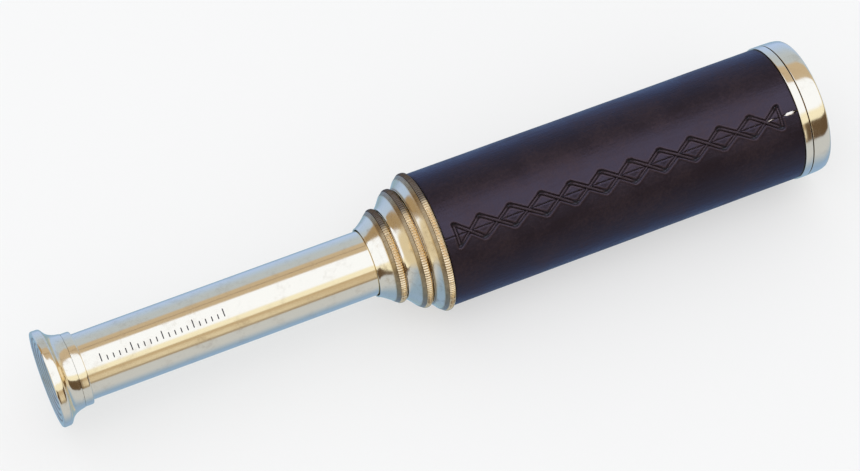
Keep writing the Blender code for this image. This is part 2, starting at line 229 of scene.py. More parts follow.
class Sheet:
    """A node tree that is being drawn up."""

    def __init__(self, tree):
        self.tree = tree

    def node(self, kind, settings=None, sockets=None, output=0):
        """Add a node: its settings are set first, then the values or links of its sockets."""
        node = self.tree.nodes.new(kind)
        for name, value in (settings or {}).items():
            setattr(node, name, value)
        for key, value in (sockets or {}).items():
            if isinstance(value, Wire):
                self.tree.links.new(value.socket, node.inputs[key])
            else:
                node.inputs[key].default_value = value
        return Wire(self, node.outputs[output]) if node.outputs else None

    def blend(self, share, first, second):
        """Mix two colours."""
        shades = [shade if isinstance(shade, Wire) else (*shade, 1.0) for shade in (first, second)]
        return self.node("ShaderNodeMix", {"data_type": "RGBA"}, {0: share, 6: shades[0], 7: shades[1]}, 2)

    def ease(self, value, low, high, out_low=0.0, out_high=1.0):
        """A soft step of a value between low and high."""
        return self.node("ShaderNodeMapRange", {"interpolation_type": "SMOOTHSTEP"},
                         {0: value, 1: low, 2: high, 3: out_low, 4: out_high})

    def layers(self, shade, *coats):
        """Lay colours over a first one, each given as (how much of it covers, colour)."""
        for share, coat in coats:
            shade = self.blend(share, shade, coat)
        return shade

    def vector(self, operation, first, second):
        return self.node("ShaderNodeVectorMath", {"operation": operation}, {0: first, 1: second})

    def noise(self, place, scale, detail=3.0, roughness=0.55):
        sockets = {"Vector": place, "Scale": scale, "Detail": detail, "Roughness": roughness}
        return self.node("ShaderNodeTexNoise", sockets=sockets)

    def split(self, place):
        """The three parts of a vector."""
        first = self.node("ShaderNodeSeparateXYZ", sockets={0: place})
        return [Wire(self, socket) for socket in first.socket.node.outputs]

    def join(self, x, y, z):
        return self.node("ShaderNodeCombineXYZ", sockets={0: x, 1: y, 2: z})

    def bump(self, height, depth, strength=1.0, normal=None):
        """A normal from a height; it goes on top of another normal if there is one."""
        sockets = {"Height": height, "Distance": depth, "Strength": strength}
        if normal is not None:
            sockets["Normal"] = normal
        return self.node("ShaderNodeBump", sockets=sockets)

    def attribute(self, name):
        """A number that the mesh carries."""
        return self.node("ShaderNodeAttribute", {"attribute_name": name}, output="Fac")

    def object_place(self):
        return self.node("ShaderNodeTexCoord", output="Object")

    def named(self, kind, **sockets):
        """A node whose sockets are given by their names, with _ for a space."""
        return self.node(kind, sockets={name.replace("_", " "): value for name, value in sockets.items()})

    def principled(self, **sockets):
        return self.named("ShaderNodeBsdfPrincipled", **sockets)

    def geometry(self, kind, **sockets):
        return self.named("GeometryNode" + kind, **sockets)

    def noted(self, shape, name, value):
        """Store a number on a geometry's points."""
        return self.node("GeometryNodeStoreNamedAttribute", {"data_type": "FLOAT", "domain": "POINT"},
                         {"Geometry": shape, "Name": name, "Value": value})


def finish(name, draw_up, *details):
    """A material whose nodes are drawn up by a function that returns its shader."""
    material = bpy.data.materials.get(name)
    if material:
        return material
    material = bpy.data.materials.new(name)
    material.use_nodes = True
    material.node_tree.nodes.clear()
    sheet = Sheet(material.node_tree)
    shader = draw_up(sheet, bpy.context.scene.telescope_colours, *details)
    sheet.node("ShaderNodeOutputMaterial", sockets={"Surface": shader})
    return material


# ---------------------------------------------------------------- finishes


def draw_brass(sheet, colours, waviness, dullness):
    """Polished brass: waves left by the buffing wheel, lathe rings, tarnish, and grime with painted shade
    and painted reflection in the corners.
    """
    place = sheet.object_place()
    x, _, _ = sheet.split(place)
    clouds = sheet.noise(place, 210.0, 5.0, 0.62)
    spots = sheet.noise(place, 900.0, 3.0, 0.6)
    grime_and_shade = sheet.attribute("grime_and_shade")
    stain = sheet.ease(clouds + (spots - 0.5) * 0.35, 0.50, 0.78) * dullness
    ringed = sheet.noise(sheet.join(x * 2600.0, 0.0, 0.0), 1.0, 2.0)
    # Browner and darker where the mesh's mask is high: patina and grime with painted shade in hollow
    # corners and the eyecup's ripples, painted reflection on the collars' fillets.
    browned = sheet.ease(grime_and_shade + (clouds - 0.5) * 0.5, 0.05, 0.6)
    caked_and_shaded = sheet.ease(grime_and_shade + (spots - 0.5) * 0.3, 0.6, 1.0)
    shade = sheet.layers(colours.brass, (stain, colours.tarnish), (browned * 0.85, colours.patina_and_shade),
                         (caked_and_shaded * 0.8, colours.grime_and_shade))
    polish = sheet.ease(clouds, 0.2, 0.8, 0.085, 0.15) + stain * 0.12 + grime_and_shade * 0.25
    waves = sheet.bump(sheet.noise(place, 95.0, 2.0), waviness)
    rings = sheet.bump(ringed, 0.004 * MM, 0.6, waves)
    return sheet.principled(Base_Color=shade, Metallic=1.0, Roughness=polish, Normal=rings)


def draw_rim(sheet, colours):
    """Knurled brass: dull golden ridges with old polish and painted shade in the cuts between them."""
    place = sheet.object_place()
    grime_and_shade = sheet.attribute("grime_and_shade")
    clouds = sheet.noise(place, 330.0, 4.0, 0.6)
    browned = sheet.ease(clouds, 0.50, 0.80)
    # Darker in the cuts and under the ring: old polish with painted shade.
    caked_and_shaded = sheet.ease(grime_and_shade + (clouds - 0.5) * 0.2, 0.08, 0.42)
    shade = sheet.layers(colours.rim, (browned * 0.7, colours.patina_and_shade), (caked_and_shaded * 0.95, colours.grime_and_shade))
    scuffs = sheet.bump(sheet.noise(place, 1500.0, 3.0, 0.6), 0.015 * MM)
    return sheet.principled(Base_Color=shade, Metallic=1.0, Roughness=0.22 + grime_and_shade * 0.2, Normal=scuffs)


def draw_blackening(sheet, colours):
    """Matt black lacquer with brass showing through where it has rubbed."""
    place = sheet.object_place()
    rub = sheet.ease(sheet.noise(place, 420.0, 5.0, 0.7), 0.62, 0.78)
    shade = sheet.blend(rub * 0.5, colours.black, colours.tarnish)
    grain = sheet.bump(sheet.noise(place, 3000.0, 2.0), 0.01 * MM)
    return sheet.principled(Base_Color=shade, Metallic=rub * 0.6, Roughness=0.62 - rub * 0.2, Normal=grain)


def draw_leather(sheet, colours):
    """Dyed, rubbed leather: close grain, a few long wrinkles, wear with painted highlight on the raised
    shoulders, and painted shade in the grooves, holes and seam.
    """
    place = sheet.object_place()
    x, y, z = sheet.split(place)
    wear_and_shade = sheet.attribute("wear_and_shade")
    cells = sheet.node("ShaderNodeTexVoronoi", {"feature": "SMOOTH_F1"},
                       {"Vector": place, "Scale": 2300.0, "Smoothness": 0.5}, "Distance")
    pores = sheet.noise(place, 4200.0, 2.0)
    clouds = sheet.noise(place, 75.0, 4.0, 0.6)
    stretched = sheet.join(x * 120.0, y * 700.0, z * 700.0)
    wrinkles = sheet.noise(stretched, 1.0, 4.0, 0.65)
    specks = sheet.noise(place, 1100.0, 3.0, 0.7)
    mottled = sheet.ease(clouds + (specks - 0.5) * 0.8, 0.35, 0.80)
    # Lighter where the mark is positive, wear and painted highlight; black where it is negative, painted
    # shade.
    worn_and_highlit = sheet.ease(wear_and_shade, 0.1, 0.9)
    painted_leather_shade = sheet.ease(-wear_and_shade, 0.15, 1.0)
    shade = sheet.layers(colours.leather, (mottled * 0.6, colours.leather_worn_and_highlit),
                         (worn_and_highlit * 0.75, colours.leather_worn_and_highlit), (painted_leather_shade * 0.85, colours.black))
    brushed = sheet.noise(sheet.join(x * 1700.0, y * 260.0, z * 260.0), 1.0, 3.0, 0.6)
    wear = sheet.ease(wrinkles, 0.45, 0.75, 0.0, 0.08)
    polish = sheet.ease(clouds + (specks - 0.5) * 0.6, 0.3, 0.7, 0.33, 0.45) + wear
    fine = sheet.bump(cells + pores * 0.4, 0.03 * MM, 0.8)
    combed = sheet.bump(brushed, 0.035 * MM, 0.9, fine)
    grain = sheet.bump(wrinkles, 0.07 * MM, 0.9, combed)
    return sheet.principled(Base_Color=shade, Roughness=polish, Normal=grain, Specular_IOR_Level=0.16)


def draw_thread(sheet, colours):
    """Waxed lacing: two plies twisted together, with wear and painted highlight on their crests and painted
    shade between them.
    """
    along = sheet.attribute("along")
    around = sheet.attribute("around")
    place = sheet.object_place()
    lay = 1.1 * MM
    twist = (along * (1.0 / lay) + around) * (2.0 * math.pi)
    plies = twist.math("SINE").math("ABSOLUTE")
    fuzz = sheet.noise(place, 3800.0, 3.0, 0.7)
    # Lighter on the crests of the plies, black between them: painted highlight and painted shade of the
    # twist.
    worn_and_highlit = plies * 0.6 + fuzz * 0.4
    shade = sheet.layers(colours.black, (worn_and_highlit, colours.leather_worn_and_highlit), (0.45, colours.thread))
    twisted = sheet.bump(plies + fuzz * 0.5, 0.05 * MM, 0.8)
    return sheet.principled(Base_Color=shade, Roughness=0.40 + fuzz * 0.2, Normal=twisted,
                            Specular_IOR_Level=0.2)


def draw_felt(sheet, colours):
    """Pressed felt."""
    place = sheet.object_place()
    fluff = sheet.noise(place, 2600.0, 6.0, 0.75)
    shade = sheet.blend(fluff, colours.black, colours.felt)
    nap = sheet.bump(fluff, 0.15 * MM)
    return sheet.principled(Base_Color=shade, Roughness=0.95, Normal=nap, Sheen_Weight=0.4)


def draw_glass(sheet, colours):
    """Lens glass with a little dust."""
    place = sheet.object_place()
    dust = sheet.ease(sheet.noise(place, 1400.0, 6.0, 0.7), 0.60, 0.85)
    tint = sheet.blend(dust * 0.2, colours.glass, colours.felt)
    return sheet.principled(Base_Color=tint, Roughness=dust * 0.12 + 0.01, IOR=1.52,
                            Transmission_Weight=1.0)


def draw_engraving(sheet, colours):
    """Black wax in engraved marks."""
    place = sheet.object_place()
    crumbs = sheet.noise(place, 5200.0, 3.0, 0.7)
    shade = sheet.blend(sheet.ease(crumbs, 0.4, 0.8), colours.black, colours.grime_and_shade)
    return sheet.principled(Base_Color=shade, Roughness=0.55 + crumbs * 0.2,
                            Normal=sheet.bump(crumbs, 0.03 * MM))


def draw_floor(sheet, colours):
    """Pale matt paper."""
    fibre = sheet.noise(sheet.object_place(), 900.0, 3.0)
    shade = sheet.blend(fibre * 0.03, colours.floor, (0.4, 0.4, 0.4))
    return sheet.principled(Base_Color=shade, Roughness=0.95, Specular_IOR_Level=0.1,
                            Emission_Color=(1.0, 1.0, 1.0, 1.0), Emission_Strength=0.515)


def tube_brass():
    return finish("tube_brass", draw_brass, 0.010 * MM, 0.35)


def collar_brass():
    return finish("collar_brass", draw_brass, 0.05 * MM, 0.7)


def blackening():
    return finish("blackening", draw_blackening)


def slot_finishes():
    """The finish of each of the record's material slots."""
    return {
        "polished_brass": tube_brass(),
        "blackened_brass": blackening(),
        "leather": finish("barrel_leather", draw_leather),
        "lace": finish("waxed_thread", draw_thread),
        "felt": finish("gland_felt", draw_felt),
        "lens_glass": finish("clear_glass", draw_glass),
    }


# ---------------------------------------------------------------- turned shapes


def eased(corners, steps=5):
    """Round off corners given as (x, radius, ease); an ease of nothing leaves the corner sharp."""
    points = []
    count = len(corners)
    for place, (x, radius, ease) in enumerate(corners):
        corner = Vector((x, radius))
        if not ease:
            points.append((x, radius))
            continue
        before = Vector(corners[place - 1][:2]) - corner
        after = Vector(corners[(place + 1) % count][:2]) - corner
        start = corner + before.normalized() * min(ease, before.length / 2.0)
        end = corner + after.normalized() * min(ease, after.length / 2.0)
        for step in range(steps + 1):
            share = step / steps
            point = start * (1.0 - share) ** 2 + corner * 2.0 * share * (1.0 - share) + end * share ** 2
            points.append(tuple(point))
    return points


def curve_through(points, steps=6):
    """A smooth line through points."""
    padded = [points[0], *points, points[-1]]
    line = []
    for before, here, there, after in zip(padded, padded[1:], padded[2:], padded[3:]):
        for step in range(steps):
            t = step / steps
            line.append(tuple(
                0.5 * (2.0 * b + (c - a) * t + (2.0 * a - 5.0 * b + 4.0 * c - d) * t * t
                       + (3.0 * b - a - 3.0 * c + d) * t ** 3)
                for a, b, c, d in zip(before, here, there, after)))
    line.append(tuple(points[-1]))
    return line


def with_margins(points):
    """Add points near both ends of each long stretch, so that grime and painted shade can fade out of a
    corner.
    """
    margins = (0.15 * MM, 0.4 * MM, 0.9 * MM)
    filled = []
    for here, there in zip(points, points[1:] + points[:1]):
        reach = Vector(there) - Vector(here)
        filled.append(here)
        if reach.length > 2.5 * margins[-1]:
            places = [margin / reach.length for margin in margins]
            places += [1.0 - place for place in reversed(places)]
            filled += [tuple(Vector(here) + reach * place) for place in places]
    return filled


def corner_grime_and_shade(points, painted_shade_points):
    """Grime and painted shade at each point of a clockwise outline: all in a hollow corner and at a painted
    shade point, none in the open.
    """
    hollows = [Vector(point) for point in painted_shade_points]
    hollow_turn = math.sin(math.radians(24.0))
    for before, here, after in zip(points[-1:] + points[:-1], points, points[1:] + points[:1]):
        arriving = Vector(here) - Vector(before)
        leaving = Vector(after) - Vector(here)
        turn = arriving.x * leaving.y - arriving.y * leaving.x
        if turn > hollow_turn * arriving.length * leaving.length:
            hollows.append(Vector(here))
    reach = 0.3 * MM
    return [max([math.exp(-(Vector(point) - hollow).length / reach) for hollow in hollows], default=0.0)
            for point in points]


def turned(name, outline, finishes, black_below=0.0, painted_shade_points=()):
    """Sweep a closed outline round the axis; faces nearer the axis than black_below are blackened.

    Grime and painted shade gather in the outline's own hollow corners; painted shade and painted reflection
    gather at the painted shade points.
    """
    rounds = bpy.context.scene.telescope_sizes.rounds
    points = [here for here, there in zip(outline, outline[1:] + outline[:1])
              if (Vector(here) - Vector(there)).length > SAME]
    area = sum(x * next_radius - next_x * radius
               for (x, radius), (next_x, next_radius) in zip(points, points[1:] + points[:1]))
    if area > 0.0:
        points.reverse()
    points = with_margins(points)
    # grime and painted shade: darker, browner brass in hollow corners and at the painted shade points
    grime_and_shade = corner_grime_and_shade(points, painted_shade_points)
    count = len(points)
    verts = []
    for step in range(rounds):
        around = 2.0 * math.pi * step / rounds
        side, height = math.sin(around), math.cos(around)
        verts += [(x, radius * side, AXIS_HEIGHT + radius * height) for x, radius in points]
    faces = []
    blacks = []
    for step in range(rounds):
        near, far = step * count, (step + 1) % rounds * count
        for here in range(count):
            there = (here + 1) % count
            faces.append((near + here, near + there, far + there, far + here))
            blacks.append(1 if max(points[here][1], points[there][1]) < black_below else 0)
    mesh = bpy.data.meshes.new(name)
    mesh.from_pydata(verts, [], faces)
    grime_and_shade_layer = mesh.attributes.new("grime_and_shade", "FLOAT", "POINT")
    grime_and_shade_layer.data.foreach_set("value", np.tile(np.array(grime_and_shade, np.float32), rounds))
    mesh.polygons.foreach_set("material_index", blacks)
    work = bmesh.new()
    work.from_mesh(mesh)
    bmesh.ops.remove_doubles(work, verts=work.verts, dist=SAME)
    bmesh.ops.delete(work, geom=[vert for vert in work.verts if not vert.link_faces], context="VERTS")
    work.to_mesh(mesh)
    work.free()
    return placed(name, mesh, finishes)


def placed(name, mesh, finishes):
    """Link a finished mesh as a piece, smooth but for its sharp corners."""
    mesh.materials.clear()
    for material in finishes:
        mesh.materials.append(material)
    mesh.shade_smooth()
    mesh.set_sharp_from_angle(angle=SHARP)
    piece = bpy.data.objects.new(name, mesh)
    bpy.context.scene.collection.objects.link(piece)
    return piece


def settle(piece, body, slot, *nodes):
    """Let a piece ride on its body, in place of its frame nodes; the slot is not used."""
    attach(piece, body)
    if nodes:
        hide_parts(*nodes)


# ---------------------------------------------------------------- node recipes


def new_recipe(name, inputs):
    """A geometry sheet with named inputs; returns the sheet and a wire for each input."""
    tree = bpy.data.node_groups.new(name, "GeometryNodeTree")
    tree.interface.new_socket("Geometry", in_out="INPUT", socket_type="NodeSocketGeometry")
    for label, kind in inputs:
        tree.interface.new_socket(label, in_out="INPUT", socket_type="NodeSocket" + kind)
    tree.interface.new_socket("Geometry", in_out="OUTPUT", socket_type="NodeSocketGeometry")
    sheet = Sheet(tree)
    entry = sheet.node("NodeGroupInput").socket.node
    return sheet, {socket.name: Wire(sheet, socket) for socket in entry.outputs if socket.name}


def end_recipe(sheet, shape, material):
    """Every recipe ends the same way: real geometry in its finish."""
    real = sheet.geometry("RealizeInstances", Geometry=shape)
    done = sheet.geometry("SetMaterial", Geometry=real, Material=material)
    sheet.node("NodeGroupOutput", sockets={"Geometry": done})
    return sheet.tree


def made_by_recipe(name, tree, values, start=None):
    """Run a recipe once and keep its result as a plain mesh piece."""
    piece = bpy.data.objects.new(name, start or bpy.data.meshes.new(name))
    bpy.context.scene.collection.objects.link(piece)
    recipe = piece.modifiers.new(tree.name, "NODES")
    recipe.node_group = tree
    for item in tree.interface.items_tree:
        if item.in_out == "INPUT" and item.name in values:
            recipe[item.identifier] = values[item.name]
    graph = bpy.context.evaluated_depsgraph_get()
    mesh = bpy.data.meshes.new_from_object(piece.evaluated_get(graph), preserve_all_data_layers=True,
                                           depsgraph=graph)
    piece.modifiers.clear()
    if not mesh.polygons:
        raise RuntimeError(f"{name}: the recipe {tree.name} made no faces")
    work = bmesh.new()
    work.from_mesh(mesh)
    bmesh.ops.remove_doubles(work, verts=work.verts, dist=1e-8)
    bmesh.ops.recalc_face_normals(work, faces=work.faces)
    work.to_mesh(mesh)
    work.free()
    mesh.polygons.foreach_set("material_index", [0] * len(mesh.polygons))
    mesh.materials.clear()
    mesh.materials.append(values["Finish"])
    mesh.shade_smooth()
    piece.data = mesh
    return piece


def round_the_axis(sheet, shape, x, radius, around):
    """Move a geometry's points to a distance along the axis, a radius and an angle round it."""
    y = -(radius * around.math("SINE"))
    z = radius * around.math("COSINE") + AXIS_HEIGHT
    return sheet.geometry("SetPosition", Geometry=shape, Position=sheet.join(x, y, z))


def floats(*names):
    """Named number inputs of a recipe."""
    return [(name, "Float") for name in names]


def rod(sheet, line, section):
    """A line made solid, closed at both ends."""
    return sheet.geometry("CurveToMesh", Curve=line, Profile_Curve=section, Fill_Caps=True)


def knurl_recipe():
    """A rim of fine straight ridges: a grid bent into a flattened ring, cut across its crown."""
    numbers = floats("Middle", "Crown", "Half Width", "Half Height", "Depth", "Seed")
    sheet, given = new_recipe("knurled_rim", [("Ridges", "Int"), *numbers, ("Finish", "Material")])
    steps_per_ridge = 7
    section_steps = 18
    grid = sheet.geometry("MeshGrid", Size_X=1.0, Size_Y=1.0, Vertices_Y=section_steps + 1,
                          Vertices_X=given["Ridges"] * steps_per_ridge + 1)
    u, v, _ = sheet.split(sheet.node("GeometryNodeInputPosition"))
    around = (u + 0.5) * (2.0 * math.pi)
    section = (v + 0.5) * (2.0 * math.pi)
    side, height = section.math("COSINE"), section.math("SINE")
    flattening = 0.8
    across = side.math("SIGN") * side.math("ABSOLUTE") ** flattening
    upward = height.math("SIGN") * height.math("ABSOLUTE") ** flattening
    flat = sheet.join(around.math("SINE"), around.math("COSINE"), upward * 0.02)
    wear = sheet.noise(sheet.vector("ADD", flat, sheet.join(0.0, 0.0, given["Seed"])), 9.0, 4.0, 0.7)
    sway = (wear - 0.5) * 1.1
    ridge = (around * given["Ridges"] + sway).math("COSINE") * 0.5 + 0.5
    on_crown = sheet.ease(upward, 0.25, 0.75)
    bite = (1.0 - ridge) ** 1.15 * on_crown * sheet.ease(wear, 0.33, 0.55, 0.6, 1.0)
    radius = given["Crown"] - given["Half Height"] + given["Half Height"] * upward - bite * given["Depth"]
    bent = round_the_axis(sheet, grid, given["Middle"] + across * given["Half Width"], radius, around)
    # The cuts between the ridges and the hidden underside of the ring are marked for grime and painted
    # shade.
    grime_and_shade_noted = sheet.noted(bent, "grime_and_shade", bite + sheet.ease(upward, 0.1, -0.2))
    merged = sheet.geometry("MergeByDistance", Geometry=grime_and_shade_noted, Distance=1e-6)
    return end_recipe(sheet, merged, given["Finish"])


def lacing_recipe():
    """Thread laid along the stitches, wrapped on the barrel and pulled down into its holes."""
    numbers = floats("Seam", "Leather", "Sink", "Thread")
    sheet, given = new_recipe("seam_lacing", [*numbers, ("Finish", "Material")])
    lines = sheet.geometry("MeshToCurve", Mesh=given["Geometry"])
    fine = sheet.geometry("ResampleCurve", Curve=lines, Count=30)
    share = sheet.node("GeometryNodeSplineParameter", output="Factor")
    run = sheet.node("GeometryNodeSplineParameter", output="Length")
    over = sheet.node("GeometryNodeInputNamedAttribute", {"data_type": "FLOAT"}, {"Name": "over"})
    x, across, _ = sheet.split(sheet.node("GeometryNodeInputPosition"))
    rise = sheet.ease(share, 0.0, 0.13) * sheet.ease(share, 1.0, 0.87)
    middle = (share - 0.5) * 9.0
    hump = (-(middle * middle)).math("EXPONENT") * over
    buried = (1.0 - over) * 0.30
    radius = given["Leather"] - given["Sink"] + given["Thread"] * (rise * 1.1 - 0.8 - buried + hump * 0.7)
    around = given["Seam"] + across / given["Leather"]
    laid = round_the_axis(sheet, fine, x, radius, around)
    measured = sheet.noted(laid, "along", run)
    circle = sheet.geometry("CurvePrimitiveCircle", Resolution=12, Radius=given["Thread"] * 0.5)
    turned_by = sheet.node("GeometryNodeSplineParameter", output="Factor")
    section = sheet.noted(circle, "around", turned_by)
    return end_recipe(sheet, rod(sheet, measured, section), given["Finish"])


def scale_recipe():
    """A row of engraved marks along a tube, every fifth one longer."""
    numbers = floats("Start", "Pitch", "Height", "Tube", "Turn", "Width")
    sheet, given = new_recipe("focus_scale", [("Marks", "Int"), *numbers, ("Finish", "Material")])
    start, step = (sheet.join(given[name], 0.0, 0.0) for name in ("Start", "Pitch"))
    row = sheet.geometry("MeshLine", Count=given["Marks"], Start_Location=start, Offset=step)
    mark = sheet.geometry("CurvePrimitiveLine", Start=(0.0, 0.0, 0.0),
                          End=sheet.join(0.0, -given["Height"], 0.0))
    number = sheet.geometry("InputIndex")
    fifth = number.math("MODULO", 5.0).math("LESS_THAN", 0.5)
    size = sheet.join(1.0, fifth * 0.75 + 1.0, 1.0)
    marks = sheet.geometry("InstanceOnPoints", Points=row, Instance=mark, Scale=size)
    real = sheet.geometry("RealizeInstances", Geometry=marks)
    fine = sheet.geometry("ResampleCurve", Curve=real, Count=9)
    share = sheet.node("GeometryNodeSplineParameter", output="Factor")
    x, across, _ = sheet.split(sheet.node("GeometryNodeInputPosition"))
    ends = 1.0 - sheet.ease(share, 0.04, 0.0) - sheet.ease(share, 0.96, 1.0)
    radius = given["Tube"] + given["Width"] * (ends * 0.25 - 0.6)
    around = given["Turn"] + across / given["Tube"]
    laid = round_the_axis(sheet, fine, x, radius, around)
    circle = sheet.geometry("CurvePrimitiveCircle", Resolution=8, Radius=given["Width"] * 0.5)
    return end_recipe(sheet, rod(sheet, laid, circle), given["Finish"])


# ---------------------------------------------------------------- collars


def bowed(start, end, power, steps):
    """Points from just after start to end, on a line that is hollow if the power is over 1."""
    (x, radius), (last_x, last_radius) = start, end
    shares = [step / steps for step in range(1, steps + 1)]
    return [(x + share * (last_x - x), radius + (last_radius - radius) * share ** power)
            for share in shares]


def collar_outline(collar, bore, lip_wall, rim_back, shank, gland, sizes):
    """A flared collar: a thin lip round the tube, a hollow flare, the seat of its rim, and the shank."""
    lip = bore + lip_wall
    top = collar.radius - sizes.foot_drop
    foot = top - sizes.fillet_rise
    rim_front = rim_back - sizes.rim_width - HAIR
    fillet_start = rim_front - sizes.fillet
    seat = collar.radius - sizes.rim_height
    gland_bore = gland.radius + GAP
    flare = bowed((collar.start + 0.22 * MM, lip), (fillet_start, foot), 1.22, 24)
    fillet = bowed((fillet_start, foot), (rim_front, top), 0.8, 8)
    front = eased([(collar.start + 0.1 * MM, bore, 0.0), (collar.start, bore + 0.15 * MM, 0.1 * MM),
                   (collar.start, lip - HAIR, 0.2 * MM), (*flare[0], 0.0)])
    rim = eased([(rim_front + 0.3 * MM, seat, 0.0), (rim_back, seat, 0.15 * MM),
                 (rim_back, shank, 0.1 * MM), (collar.end, shank, sizes.edge),
                 (collar.end, gland_bore, 0.0), (gland.start - GAP, gland_bore, 0.0),
                 (gland.start - GAP, bore, 0.0)])
    return front[:-1] + flare + fillet + rim, fillet[1::2]


def make_collar(name, body, node, tube, lip_wall, sleeve, shank, gland):
    """One collar with its knurled rim."""
    sizes = bpy.context.scene.telescope_sizes
    collar = span(node)
    bore = span(tube).radius + GAP
    rim_back = span(sleeve).start - GAP
    outline, fillet = collar_outline(collar, bore, lip_wall, rim_back, shank, span(gland), sizes)
    # The fillet's points get a painted brown reflection and painted shade.
    piece = turned(name, outline, [collar_brass(), blackening()], bore + 0.05 * MM, fillet)
    settle(piece, body, "polished_brass", node)
    ridges = round(2.0 * math.pi * collar.radius / sizes.knurl_pitch)
    recipe = bpy.data.node_groups.get("knurled_rim") or knurl_recipe()
    rim = made_by_recipe(name + "_rim", recipe, {
        "Middle": rim_back - sizes.rim_width / 2.0 - HAIR, "Crown": collar.radius,
        "Half Width": sizes.rim_width / 2.0, "Half Height": sizes.rim_height,
        "Ridges": ridges, "Depth": sizes.knurl_depth, "Seed": collar.radius / MM,
        "Finish": finish("rim_brass", draw_rim)})
    settle(rim, body, "polished_brass", node)


class TELESCOPE_OT_collars(bpy.types.Operator):
    """Make the three flared collars and their knurled rims"""

    bl_idname = "telescope.collars"
    bl_label = "Draw collars"

    def execute(self, context):
        collars = (("middle", "middle_draw", "small_tube", 0.42 * MM, "middle_tube"),
                   ("large", "large_draw", "middle_tube", 0.5 * MM, "large_tube"),
                   ("barrel", "barrel", "large_tube", 0.9 * MM, "leather_sleeve"))
        for name, body, tube, lip_wall, sleeve in collars:
            gland = name + "_gland"
            in_barrel = sleeve == "leather_sleeve"
            shank = span(gland).radius + GAP + WALL if in_barrel else span(sleeve).radius - WALL - GAP
            make_collar(name + "_draw_collar", body, name + "_collar", tube, lip_wall, sleeve, shank, gland)
        return {"FINISHED"}


# ---------------------------------------------------------------- tubes and bands


def tube_outline(tube, wall, ease):
    """A drawn tube with its end corners eased."""
    inner = tube.radius - wall
    return eased([(tube.start, inner, ease), (tube.start, tube.radius, ease),
                  (tube.end, tube.radius, ease), (tube.end, inner, ease)])


class TELESCOPE_OT_tubes(bpy.types.Operator):
    """Make the three draw tubes and the barrel tube, blackened inside"""

    bl_idname = "telescope.tubes"
    bl_label = "Tubes"

    def execute(self, context):
        ease = context.scene.telescope_sizes.edge
        tubes = (("small_tube", "small_draw", WALL), ("middle_tube", "middle_draw", WALL),
                 ("large_tube", "large_draw", WALL), ("barrel_tube", "barrel", BARREL_WALL))
        for node, body, wall in tubes:
            tube = span(node)
            outline = tube_outline(tube, wall, ease)
            piece = turned(node + "_drawn", outline, [tube_brass(), blackening()], tube.radius - wall / 2.0)
            settle(piece, body, "polished_brass", node)
        return {"FINISHED"}


class TELESCOPE_OT_focus_scale(bpy.types.Operator):
    """Engrave the plain focus scale on the small draw"""

    bl_idname = "telescope.focus_scale"
    bl_label = "Focus scale"

    def execute(self, context):
        sizes = context.scene.telescope_sizes
        tube = span("small_tube")
        marks = made_by_recipe("focus_scale_marks", scale_recipe(), {
            "Marks": sizes.scale_marks, "Start": span("eyepiece_ferrule").end + 4.6 * MM,
            "Pitch": sizes.scale_pitch, "Height": 1.5 * MM, "Tube": tube.radius,
            "Turn": math.radians(35.6), "Width": 0.42 * MM,
            "Finish": finish("engraving_wax", draw_engraving)})
        settle(marks, "small_draw", "blackened_brass")
        return {"FINISHED"}


# ---------------------------------------------------------------- eyepiece


def dish_line(face, rim, hole, depth, rings):
    """The eyecup's dish from its hole out to its rim: turned ripples; also returns their deepest points."""
    steps_per_ring = 8
    ripple = 0.10 * MM
    line = []
    for step in range(rings * steps_per_ring + 1):
        share = step / (rings * steps_per_ring)
        wave = math.cos(2.0 * math.pi * rings * share)
        x = face + depth * (1.0 - share) ** 1.2 + ripple * (1.0 - wave)
        line.append((x, hole + share * (rim - hole)))
    return line, line[steps_per_ring // 2::steps_per_ring]


class TELESCOPE_OT_eyepiece(bpy.types.Operator):
    """Make the trumpet eyecup, the band behind it and the eye lens"""

    bl_idname = "telescope.eyepiece"
    bl_label = "Eyepiece"

    def execute(self, context):
        sizes = context.scene.telescope_sizes
        cup = span("eyecup")
        band = span("eyepiece_ferrule")
        tube = span("small_tube")
        lens = span("eye_lens", INNER_FLATS)
        lens_seat = lens.start - GAP
        lens_bore = lens.radius + GAP
        back = band.start - GAP
        shank = tube.radius - WALL - GAP
        hole = 3.2 * MM
        trumpet = curve_through([
            (cup.start + along * MM, cup.radius - drop * MM) for along, drop in (
                (0.12, 0.12), (0.4, 0.0), (1.2, 0.0), (2.0, 0.04), (2.5, 0.32), (2.95, 0.95), (3.45, 1.6),
                (4.1, 2.15), (4.9, 2.55), (5.8, 2.85), (6.6, 3.0))])
        ripples, cuts = dish_line(cup.start, cup.radius - 1.1 * MM, hole, 1.6 * MM, sizes.dish_rings)
        dish = [(lens_seat, hole), (cup.start + 2.6 * MM, hole), *ripples,
                (cup.start, cup.radius - 0.9 * MM), (cup.start, cup.radius - 0.25 * MM)]
        rear = [(back, cup.radius - 3.1 * MM), (back, shank), (cup.end, shank), (cup.end, lens_bore),
                (lens_seat, lens_bore)]
        # Painted shade in the troughs of the dish's ripples.
        eyecup = turned("trumpet_eyecup", dish + trumpet + rear, [collar_brass()], painted_shade_points=cuts)
        settle(eyecup, "small_draw", "polished_brass", "eyecup")
        bore = tube.radius + GAP
        front = band.start - 0.22 * MM
        ring = eased([(front, bore, 0.0), (front, band.radius, 0.03 * MM),
                      (band.end - 0.12 * MM, band.radius, 0.5 * MM), (band.end, bore + 0.1 * MM, 0.1 * MM),
                      (band.end - 0.1 * MM, bore, 0.0)])
        sleeve = turned("eyecup_band", ring, [tube_brass()])
        settle(sleeve, "small_draw", "polished_brass", "eyepiece_ferrule")
        make_lens("eye_lens_glass", "small_draw", "eye_lens", 0.0, 1.5 * MM)
        return {"FINISHED"}


